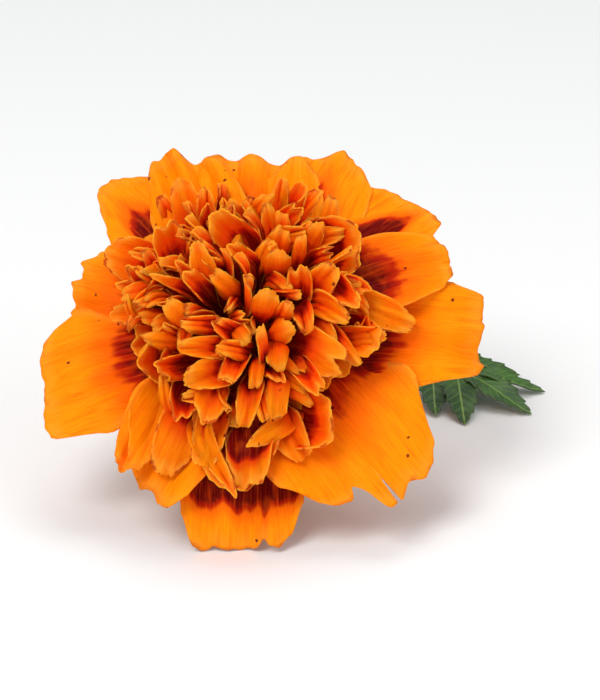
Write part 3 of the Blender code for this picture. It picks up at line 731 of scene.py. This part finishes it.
plans = []
for kindName, across, up, width, long, aim, toward, rise, *own in shownFlorets:
    plans.append(limbPlan(kindName, across, up, width, long, aim, toward, onDome(across, up, rise), *own))
shownSpots = [plan["tip"] - plan["lastWay"] * back for plan in plans for back in (2.2, 4.4)]
goldenTurn = math.pi * (3.0 - math.sqrt(5.0))
for index in range(crest["count"]):
    share = (index + 0.5) / crest["count"]
    reach = crest["radius"] * math.sqrt(share)
    x, y = reach * math.cos(index * goldenTurn), reach * math.sin(index * goldenTurn)
    height = domeHeight(reach) + chance.uniform(*crest["rise"])
    if min(math.hypot(x - shown[0], y - shown[1]) for shown in shownSpots) < crest["apart"]:
        continue
    up = shownUp(y, height)
    if any(math.hypot(x - right, up - over) < radius for right, over, radius in crest["pits"]):
        continue
    aim = math.degrees(math.atan2(y, x)) + chance.normal(0.0, 30.0 if share > 0.3 else 60.0)
    kindName = list(crest["kinds"])[chance.choice(len(crest["kinds"]), p=list(crest["kinds"].values()))]
    toward = chance.uniform(*crest["toward"]) - crest["flatter"] * share
    size = (chance.uniform(*crest["width"]), chance.uniform(*crest["long"]))
    plans.append(limbPlan(kindName, x, up, *size, aim, toward, height, {"rows": 28, "columns": 20}))

spots = [discSpot(out, turn + 360.0 * k / count) for count, out, turn in crest["nodes"] for k in range(count)]
nodeOf = nearestPlans(plans, {f"crest_floret_{k:02d}": spot for k, spot in enumerate(spots, 1)})
for index, plan in enumerate(plans):
    buildPetal(f"floret_{index + 1:03d}", plan, innerSides, nodeOf.get(index))
print(f"crest filled with {len(plans)} florets")

# Green parts: their finishes first, then the involucre, the stem and the leaves

def makeGreenGroup():
    # leaf and bract colour from a vein mark and a side-vein run, with clouding and fine grain
    numbers = ("Middle", "Run", "Tinted", "Vein Share", "Side Share", "Dots")
    group, start, finish = newGroup("greenSkin", ("Deep", "Fresh", "Vein", "Tint"), numbers)
    tone, mix = partial(ramp, group), partial(mixColor, group)
    times, plus, less = (partial(step, group, operation) for operation in ("MULTIPLY", "ADD", "SUBTRACT"))
    cloud = noise(group, start["Map"], 9.0, 4.0)
    grain = noise(group, start["Map"], 260.0, 2.0)
    color = mix(tone(cloud, 0.35, 0.68), start["Deep"], start["Fresh"])
    wave = step(group, "SINE", times(plus(start["Run"], times(cloud, 0.35)), fullTurn))
    side = times(times(tone(wave, 0.80, 0.99), tone(start["Middle"], 0.05, 0.25)), start["Side Share"])
    color = mix(side, color, start["Vein"])
    main = times(less(1.0, tone(start["Middle"], 0.03, 0.13)), start["Vein Share"])
    color = mix(main, color, start["Vein"])
    color = mix(times(start["Tinted"], tone(cloud, 0.30, 0.62)), color, start["Tint"])
    dot = times(less(1.0, tone(cells(group, start["Map"], 26.0), 0.12, 0.20)), start["Dots"])
    color = mix(dot, color, (0.045, 0.030, 0.006))
    height = less(plus(times(grain, 0.35), times(cloud, 0.5)), times(side, 0.7))
    feed(group, finish, {"Color": color, "Height": plus(height, times(dot, 0.5)), "Dull": grain})
    return group


greenFamily = {
    "group": makeGreenGroup(), "marks": {"Middle": "midway", "Run": "veinRun", "Tinted": "tinted"},
    "duller": 0.10, "glow": 0.06, "soft": (0.4, 1.0, 0.1), "depth": 0.0006,
}
greenFinishes = {
    "leafFace": {"rough": 0.42, "relief": 0.55, "gloss": 0.45, "skin": {
        "Deep": (0.018, 0.062, 0.008), "Fresh": (0.050, 0.145, 0.014), "Vein": (0.21, 0.36, 0.055),
        "Tint": (0.05, 0.03, 0.02), "Vein Share": 0.85, "Side Share": 0.30}},
    "leafBack": {"rough": 0.55, "relief": 0.5, "gloss": 0.3, "skin": {
        "Deep": (0.070, 0.140, 0.035), "Fresh": (0.110, 0.200, 0.055), "Vein": (0.24, 0.36, 0.12),
        "Tint": (0.08, 0.05, 0.03), "Vein Share": 0.8, "Side Share": 0.5, "Dots": 0.35}},
    "rachisSkin": {"rough": 0.45, "relief": 0.5, "gloss": 0.4, "stretch": (6.0, 1.0, 1.0), "skin": {
        "Deep": (0.075, 0.160, 0.020), "Fresh": (0.130, 0.240, 0.035), "Vein": (0.22, 0.34, 0.07),
        "Tint": (0.10, 0.05, 0.02)}},
    "stemSkin": {"rough": 0.42, "relief": 0.6, "gloss": 0.4, "stretch": (7.0, 0.9, 1.0), "skin": {
        "Deep": (0.028, 0.085, 0.012), "Fresh": (0.075, 0.160, 0.020), "Vein": (0.19, 0.30, 0.05),
        "Tint": (0.085, 0.035, 0.022), "Vein Share": 0.7}},
    "bractSkin": {"rough": 0.46, "relief": 0.6, "gloss": 0.35, "stretch": (1.6, 0.8, 1.0), "skin": {
        "Deep": (0.070, 0.130, 0.016), "Fresh": (0.190, 0.260, 0.035), "Vein": (0.030, 0.075, 0.012),
        "Tint": (0.105, 0.032, 0.026), "Vein Share": 0.75, "Dots": 0.85}},
}
finishes = [groupFinish(name, greenFamily, look) for name, look in greenFinishes.items()]
leafSides = finishes[:2]
rachisSkin, stemSkin, bractSkin = finishes[2:]

# the stem's cut, from the middle out
pith = {
    "core": (0.52, 0.60, 0.33), "outer": (0.20, 0.34, 0.08), "rind": (0.06, 0.13, 0.02),
    "pores": (0.36, 0.44, 0.20),
}


def makePith():
    # pale spongy pith inside a green rind
    material, tree, shader = blankFinish("cutPith")
    sponge = cells(tree, shade(tree, "TexCoord", {})["Object"], 2600.0)
    band = mark(tree, "midway")
    color = mixColor(tree, ramp(tree, band, 0.62, 0.80), pith["core"], pith["outer"])
    color = mixColor(tree, ramp(tree, band, 0.88, 0.97), color, pith["rind"])
    color = mixColor(tree, ramp(tree, sponge, 0.25, 0.75), color, pith["pores"])
    feed(tree, shader, {"Base Color": color, "Normal": bump(tree, sponge, 0.5, 0.00015), "Roughness": 0.5})
    return material


pithFinish = makePith()
print("green finishes made")

# Involucre: fused bracts in a ribbed cup with a pointed tooth on each, around the domed receptacle
involucre = {
    "depth": 19.0, "bracts": 8, "tooth": 2.8, "sides": 192, "rows": 72, "wall": 0.45, "flare": 0.35,
    "rib": (0.20, 0.16), "seam": (0.34, 0.10),  # height or depth, and spread as a share of half a bract
    # shares of the depth from the stem up, and the cup's radius there
    "profile": ((0.0, 3.1), (0.02, 3.55), (0.12, 4.6), (0.30, 5.9), (0.55, 6.75), (0.80, 6.95), (1.0, 6.85)),
    "skirt": ((5.9, -6.0), (6.0, -3.0), (6.1, -1.5), (6.25, -0.4), (6.3, 0.3)),  # radius and height
}


def buildCalyx():
    angle = ringAngles(involucre["sides"])
    place = (angle * involucre["bracts"] / fullTurn) % 1.0
    middle = np.abs(2.0 * place - 1.0)  # 0 on a bract's midrib and 1 on the seam between two
    top = 1.0 - involucre["tooth"] / involucre["depth"] * middle ** 1.3
    share = np.linspace(0.0, 1.0, involucre["rows"] + 1)[:, None] ** 0.9 * top
    stations = np.array(involucre["profile"])
    fine = np.linspace(0.0, 1.0, 200)
    radii = np.pad(np.interp(fine, stations[:, 0], stations[:, 1]), 6, mode="reflect", reflect_type="odd")
    radius = np.interp(share, fine, np.convolve(radii, np.ones(13) / 13.0, mode="valid"))
    (high, ribWide), (deep, seamWide) = involucre["rib"], involucre["seam"]
    radius = radius + high * bell(middle, 0.0, ribWide) * smooth(0.02, 0.2, share)
    radius = radius - deep * bell(middle, 1.0, seamWide) * smooth(0.02, 0.2, share)
    radius = radius + 0.08 * np.cos(math.pi * middle) + involucre["flare"] * smooth(0.86, 1.0, share)
    radius = radius + 0.05 * np.sin(7.0 * angle + 9.0 * share) * np.sin(23.0 * share + 3.0 * angle)
    height = involucre["depth"] * (share - 1.0)

    # over the teeth's lip and down inside to the receptacle
    lip, edge = radius[-1:], height[-1:]
    within = lip - involucre["wall"]
    closed = 0.0 * lip + receptacle["radius"]
    radius = np.concatenate([radius, lip - 0.2, within, np.minimum(within, 6.1), closed])
    height = np.concatenate([height, edge + 0.12, edge, edge - 1.4, 0.0 * edge - 6.0])
    share = np.concatenate([share] + [share[-1:]] * 4)
    grid = layers(radius * np.cos(angle), radius * np.sin(angle), height)
    tinted = np.clip(smooth(0.55, 1.0, share) * 0.95 + 0.35 * smooth(0.75, 1.0, middle), 0.0, 1.0)
    marks = {"midway": middle, "veinRun": 0.0, "tinted": tinted}
    mesh = ringMesh("calyx", toWorld(grid), patternMap(angle * 6.5, height), marks, closeStart=True)
    addPiece(mesh, [bractSkin], "involucre")


def buildReceptacle():
    # a pale skirt of crowded claws below a pimpled dome; the dome wears the petals' dark heart colour, partly
    # the dark bases of the crowded florets and partly painted shade between them
    angle = ringAngles(involucre["sides"])
    polar = np.linspace(0.0, 0.5 * math.pi, 27)[:, None]
    skirt = np.array(involucre["skirt"])
    dome = receptacle["radius"] * np.cos(0.985 * polar)
    radius = np.concatenate([skirt[:, :1] + 0.10 * np.cos(30.0 * angle), dome + 0.0 * angle])
    height = np.concatenate([skirt[:, 1:], 0.5 + 4.6 * np.sin(polar)]) + 0.0 * angle
    radius = radius + 0.10 * np.sin(24.0 * angle) * np.sin(20.0 * height) * smooth(0.6, 1.2, height)
    grid = layers(radius * np.cos(angle), radius * np.sin(angle), height)
    # fromHeart 0.2 gives the dome the dark heart colour: painted shade in part, where it shows between the
    # florets
    marks = {"fromHeart": 0.2, "nearEdge": 0.0, "tinted": 0.0, "midway": 0.5 + 0.5 * np.cos(30.0 * angle),
             "veinRun": 0.0}
    flat = patternMap(angle * 6.0, height)
    mesh = ringMesh("receptacle", toWorld(grid), flat, marks, closeEnd=True, change=len(skirt) - 1)
    addPiece(mesh, [rachisSkin, innerFace])


buildCalyx()
buildReceptacle()
print("involucre made")

# Stem: under the head it follows the flower's axis, then it bends down and turns along the table
stem = {
    "start": 19.3, "length": 62.0, "topRadius": 3.1, "radius": 1.65, "swell": 19.0, "pitch": 50.0,
    "turn": 66.0, "ridges": 6, "ridge": 0.034, "steps": 240, "rings": 200, "sides": 60, "hollow": 0.22,
    "overlap": 0.9,  # millimetres up into the involucre
    "leafNode": 47.0, "nodeSwell": 0.42, "nodeLong": 2.2,
}


def stemWay(distance, bend):
    pitch = np.radians(stem["pitch"] * (1.0 - smooth(0.0, bend, distance)))
    heading = np.radians(stem["turn"] * smooth(0.0, stem["length"], distance))
    level = np.cos(pitch)
    return layers(level * np.sin(heading), level * np.cos(heading), -np.sin(pitch))


def stemLine():
    middles = (np.arange(stem["steps"]) + 0.5) / stem["steps"]
    unitDrop = np.sin(np.radians(stem["pitch"] * (1.0 - smooth(0.0, 1.0, middles)))).mean()
    start = np.array(head["place"]) - headTurn @ np.array([0.0, 0.0, stem["start"]])
    bend = (start[2] - stem["radius"]) / unitDrop  # how far along the stem comes to lie level
    gap = stem["length"] / stem["steps"]
    points = start + runningSum(stemWay(middles * stem["length"], bend) * gap)
    distances = np.arange(stem["steps"] + 1) * gap
    return distances, points, stemWay(distances, bend)


distances, stemPoints, stemWays = stemLine()


def stemFrames(places):
    inside = np.clip(places, 0.0, stem["length"])
    way = unit(alongLine(inside, distances, stemWays))
    centre = alongLine(inside, distances, stemPoints) + way * (places - inside)[:, None]
    sideWay = unit(np.cross(way, np.array([0.0, 0.0, 1.0])))
    return centre, way, sideWay, np.cross(sideWay, way)


def buildStem():
    run = np.linspace(-stem["overlap"], stem["length"], stem["rings"])
    centre, way, sideWay, overWay = stemFrames(run)
    angle, run = ringAngles(stem["sides"]), run[:, None]
    ridge = np.cos(stem["ridges"] * (angle + 0.012 * run))
    wander = 0.012 * np.sin(3.0 * angle + 0.35 * run) + 0.010 * np.sin(0.9 * run + angle)
    radius = blend(stem["topRadius"], stem["radius"], smooth(0.0, stem["swell"], run))
    radius = radius * (0.958 + stem["ridge"] * ridge + wander * 0.7)
    node = bell(run, stem["leafNode"], stem["nodeLong"])
    knob = (0.35 + 0.65 * np.maximum(np.sin(angle), 0.0)) * smooth(-0.55, 0.1, np.sin(angle))
    radius = radius + stem["nodeSwell"] * node * knob
    ring = np.cos(angle)[..., None] * sideWay[:, None, :] + np.sin(angle)[..., None] * overWay[:, None, :]
    grid = centre[:, None, :] + radius[..., None] * ring
    tinted = 0.55 * node + 0.55 * (1.0 - smooth(0.0, 10.0, run)) + 0.25 * smooth(30.0, 62.0, run)
    marks = {"midway": 1.0 - (0.5 + 0.5 * ridge) ** 2, "veinRun": 0.0, "tinted": np.clip(tinted, 0.0, 0.8)}
    mesh = ringMesh("stalk", grid * mm, patternMap(angle * 2.0, run), marks, closeStart=True)
    addPiece(mesh, [stemSkin], "stem")

    # the cut end, a little hollow, with its paler pith
    shares = np.array([1.0, 0.985, 0.93, 0.84, 0.70, 0.50, 0.30, 0.12])[:, None]
    hollow = -stem["hollow"] * (1.0 - shares ** 3)
    hollow = hollow + 0.20 * np.sin(9.0 * angle + 5.0 * shares) * shares * (1.0 - shares)
    face = centre[-1] + shares[..., None] * (grid[-1] - centre[-1]) + hollow[..., None] * way[-1]
    flat = layers(angle / mapSize, shares / mapSize)
    mesh = ringMesh("stalk_cut", face * mm, flat, {"midway": shares}, closeEnd=True)
    addPiece(mesh, [pithFinish])


buildStem()
print("stem made")

# Leaves: each a rachis with toothed leaflets in pairs and one at its end, lying down to the table at the tips
leafShape = {
    "pairs": 3, "halfWidth": 0.75, "leaflet": 5.4, "teeth": 7, "clear": 0.3, "thick": 0.24, "arch": 3.0,
    "rows": 72, "columns": 18, "bent": 0.07, "lifted": (0.5, 1.0),
    # how far along the leaf the rachis reaches, then its half width and half height at the root and the end
    "rachis": 0.72, "rachisWide": (0.80, 0.30), "rachisTall": (0.62, 0.26),
    # the leaflet at the end and two small ones: places along and across, turn, length's share and width
    "others": ((0.58, 0.0, 0.0, 0.44, 6.048), (0.07, 0.3, 0.95, 0.17, 2.6), (0.09, -0.3, -0.95, 0.16, 2.4)),
}
leafPlans = {
    "leaf_right": {"length": 33.0, "heading": 134.0, "seed": 5},
    "leaf_back": {"length": 34.0, "heading": -50.0, "seed": 8},
}


def leafRidge(plan, x):
    share = np.clip(x / plan["length"], 0.0, 1.0)
    falls = blend(stem["radius"] - 0.25, 0.0, smooth(0.0, 1.0, share * 1.3))
    return falls + leafShape["arch"] * np.sin(math.pi * share)


def placeLeaf(plan):
    # where the leaf starts, which way it lies, and how far its start is from the stem's middle
    centre, way, _, _ = stemFrames(np.array([stem["leafNode"]]))
    heading = math.radians(plan["heading"])
    turned = heading - math.atan2(way[0, 0], way[0, 1])
    clear = stem["radius"] + leafShape["clear"] + leafShape["halfWidth"] * abs(math.cos(turned))
    clear = clear / abs(math.sin(turned))
    ahead = np.array([math.sin(heading), math.cos(heading)])
    return {**plan, "root": centre[0, :2] + ahead * clear, "ahead": ahead, "clear": clear}


def leafToWorld(points, plan):
    ahead = plan["ahead"]
    flat = plan["root"] + points[..., :1] * ahead + points[..., 1:2] * np.array([-ahead[1], ahead[0]])
    return np.concatenate([flat, points[..., 2:]], axis=-1) * mm


def buildLeaflet(name, plan, spot, spread, length, width, spin):
    u = np.linspace(0.0, 1.0, leafShape["rows"] + 1)[:, None]
    v = np.linspace(-1.0, 1.0, leafShape["columns"] + 1)[None, :]
    bulge = np.sin(math.pi * u ** 0.82) ** 0.85
    saw = (u * leafShape["teeth"] + 0.35) % 1.0
    tooth = 0.26 * (saw ** 1.4) * smooth(0.12, 0.28, u) * (1.0 - smooth(0.90, 1.0, u)) * np.abs(v) ** 3
    half = (0.5 * width * bulge + 0.28 * (1.0 - u)) * (0.84 + tooth)
    x = length * (u + 0.05 * np.abs(v) ** 2 * (1.0 - u) + 0.5 * tooth / leafShape["teeth"])
    y = v * half + spin.uniform(-leafShape["bent"], leafShape["bent"]) * length * u ** 2
    cosine, sine = math.cos(spread), math.sin(spread)
    leafX = spot[0] + x * cosine - y * sine
    leafY = spot[1] + x * sine + y * cosine

    # it follows the rachis down, arches, lifts its margins, and sinks along the midrib and the side veins
    ridge = np.maximum(leafRidge(plan, leafX) - 0.16 * np.abs(leafY), 0.0)
    lifted = spin.uniform(*leafShape["lifted"])
    z = ridge * (1.0 - 0.75 * u ** 2) + lifted * np.sin(math.pi * u) * (1.0 - 0.3 * u)
    z = z + 0.30 * half * np.abs(v) ** 1.3
    z = z + 0.16 * np.sin(fullTurn * (u * 2.2 + spin.uniform())) * v * half / 2.0
    z = z - 0.10 * bell(v, 0.0, 0.10) * (1.0 - u)
    z = z + 0.07 * np.sin(fullTurn * (u * length - np.abs(v) * half) / 1.9) * (1.0 - np.abs(v))
    grid = layers(leafX, leafY, np.maximum(z + 0.32, 0.16))
    over = gridNormals(grid) * leafShape["thick"] * (1.0 - 0.4 * np.abs(v) ** 6)[..., None] / 2.0
    top, bottom = grid + over, grid - over
    bottom[..., 2] = np.maximum(bottom[..., 2], 0.02)
    flat = patternMap(y + spin.integers(1, 40) * 9.0, x)
    marks = {
        "midway": np.abs(v) * half / 2.0, "veinRun": (u * length - 1.1 * np.abs(v) * half) / 1.5,
        "tinted": 0.5 * smooth(0.86, 1.0, np.maximum(np.abs(v), u)),
    }
    mesh = sheetMesh(name, leafToWorld(top, plan), leafToWorld(bottom, plan), flat, marks)
    addPiece(mesh, leafSides)


def buildRachis(name, node, plan):
    start, end = -plan["clear"], plan["length"] * leafShape["rachis"]
    x = np.linspace(start + 0.5, end, 70)[:, None]
    angle = ringAngles(20)
    share = np.clip((x - start) / (end - start), 0.0, 1.0)
    wide = blend(*leafShape["rachisWide"], share) + 0.9 * bell(x, start, 1.8)
    tall = blend(*leafShape["rachisTall"], share) + 0.25 * bell(x, start, 1.8)
    groove = 0.22 * bell(np.cos(angle), 0.0, 0.35) * (np.sin(angle) > 0.0)
    y = wide * np.cos(angle) * (1.0 + 0.03 * np.sin(1.7 * x))
    z = leafRidge(plan, x) + 0.34 + tall * np.sin(angle) * (1.0 - groove)
    grid = layers(x, y, np.maximum(z, 0.04))
    marks = {"midway": 1.0, "veinRun": 0.0, "tinted": 0.6 * (1.0 - smooth(0.0, 0.3, share))}
    flat = patternMap(angle * 0.6, x)
    mesh = ringMesh(name, leafToWorld(grid, plan), flat, marks, closeStart=True, closeEnd=True)
    addPiece(mesh, [rachisSkin], node)


for name, plan in leafPlans.items():
    spin = np.random.default_rng(plan["seed"])
    plan = placeLeaf(plan)
    length = plan["length"]
    number = 0
    for k in range(leafShape["pairs"]):
        share = (k + 1.0) / (leafShape["pairs"] + 1.0)
        size = length * (0.36 + 0.06 * math.sin(math.pi * share))
        spread = math.radians(blend(58.0, 40.0, share))
        for hand in (1.0, -1.0):
            number += 1
            spot = (length * (0.05 + 0.72 * share) + spin.uniform(-0.5, 0.5), hand * 0.35)
            blade = f"{name}_blade_{number}"
            buildLeaflet(blade, plan, spot, hand * spread, size, leafShape["leaflet"], spin)
    for out, over, turn, size, width in leafShape["others"]:
        number += 1
        buildLeaflet(f"{name}_blade_{number}", plan, (length * out, over), turn, length * size, width, spin)
    buildRachis(f"{name}_rachis", name, plan)
print("leaves made")

# Floor, lights and camera
floorMesh = bpy.data.meshes.new("floor")
floorMesh.from_pydata([(-3, -3, 0), (3, -3, 0), (3, 3, 0), (-3, 3, 0)], [], [(0, 1, 2, 3)])
floor = addObject("floor", floorMesh)
floorFinish, floorTree, floorShader = blankFinish("paleFloor")
feed(floorTree, floorShader, {"Base Color": (0.86, 0.86, 0.85), "Roughness": 0.7})
floorMesh.materials.append(floorFinish)

studio = {
    # name, place in metres, size and power of each lamp
    "lamps": (
        ("key", (-0.35, -0.55, 0.75), 0.45, 6.0),
        ("fill", (0.70, -0.45, 0.45), 0.60, 2.2),
        ("top", (0.05, 0.25, 0.95), 0.60, 3.0),
        ("front", (0.05, -0.80, 0.22), 0.50, 0.5),
    ),
    "sky": (0.95, 0.97, 1.0),
    "skyStrength": 0.42,
}
aim = Vector((cadLow[0] + cadHigh[0], cadLow[1] + cadHigh[1], 0.04)) / 2.0
for label, place, size, power in studio["lamps"]:
    light = bpy.data.lights.new(label, "AREA")
    light.size = size
    light.energy = power
    lamp = addObject(label, light)
    lamp.location = place
    lamp.rotation_euler = (aim - lamp.location).to_track_quat("-Z", "Y").to_euler()
world = bpy.data.worlds.new("softRoom")
world.use_nodes = True
sky = world.node_tree.nodes["Background"].inputs
feed(world.node_tree, sky, {"Color": studio["sky"], "Strength": studio["skyStrength"]})
bpy.context.scene.world = world
bpy.context.scene.view_settings.view_transform = "Standard"

view = {
    "elevation": 23.0, "lens": 135.0, "sensor": 36.0, "aim": (0.0, -0.006, 0.0135),
    "tall": 0.092 * 7.0 / 6.0,  # how much height shows where it aims, in metres
}
camera = bpy.data.cameras.new("camera")
camera.lens = view["lens"]
camera.sensor_width = view["sensor"]
cameraPiece = addObject("camera", camera)
elevation = math.radians(view["elevation"])
back = Vector((0.0, -math.cos(elevation), math.sin(elevation)))
cameraPiece.location = Vector(view["aim"]) + back * (view["tall"] * view["lens"] / view["sensor"])
cameraPiece.rotation_euler = (-back).to_track_quat("-Z", "Y").to_euler()
bpy.context.scene.camera = cameraPiece
print("studio set")
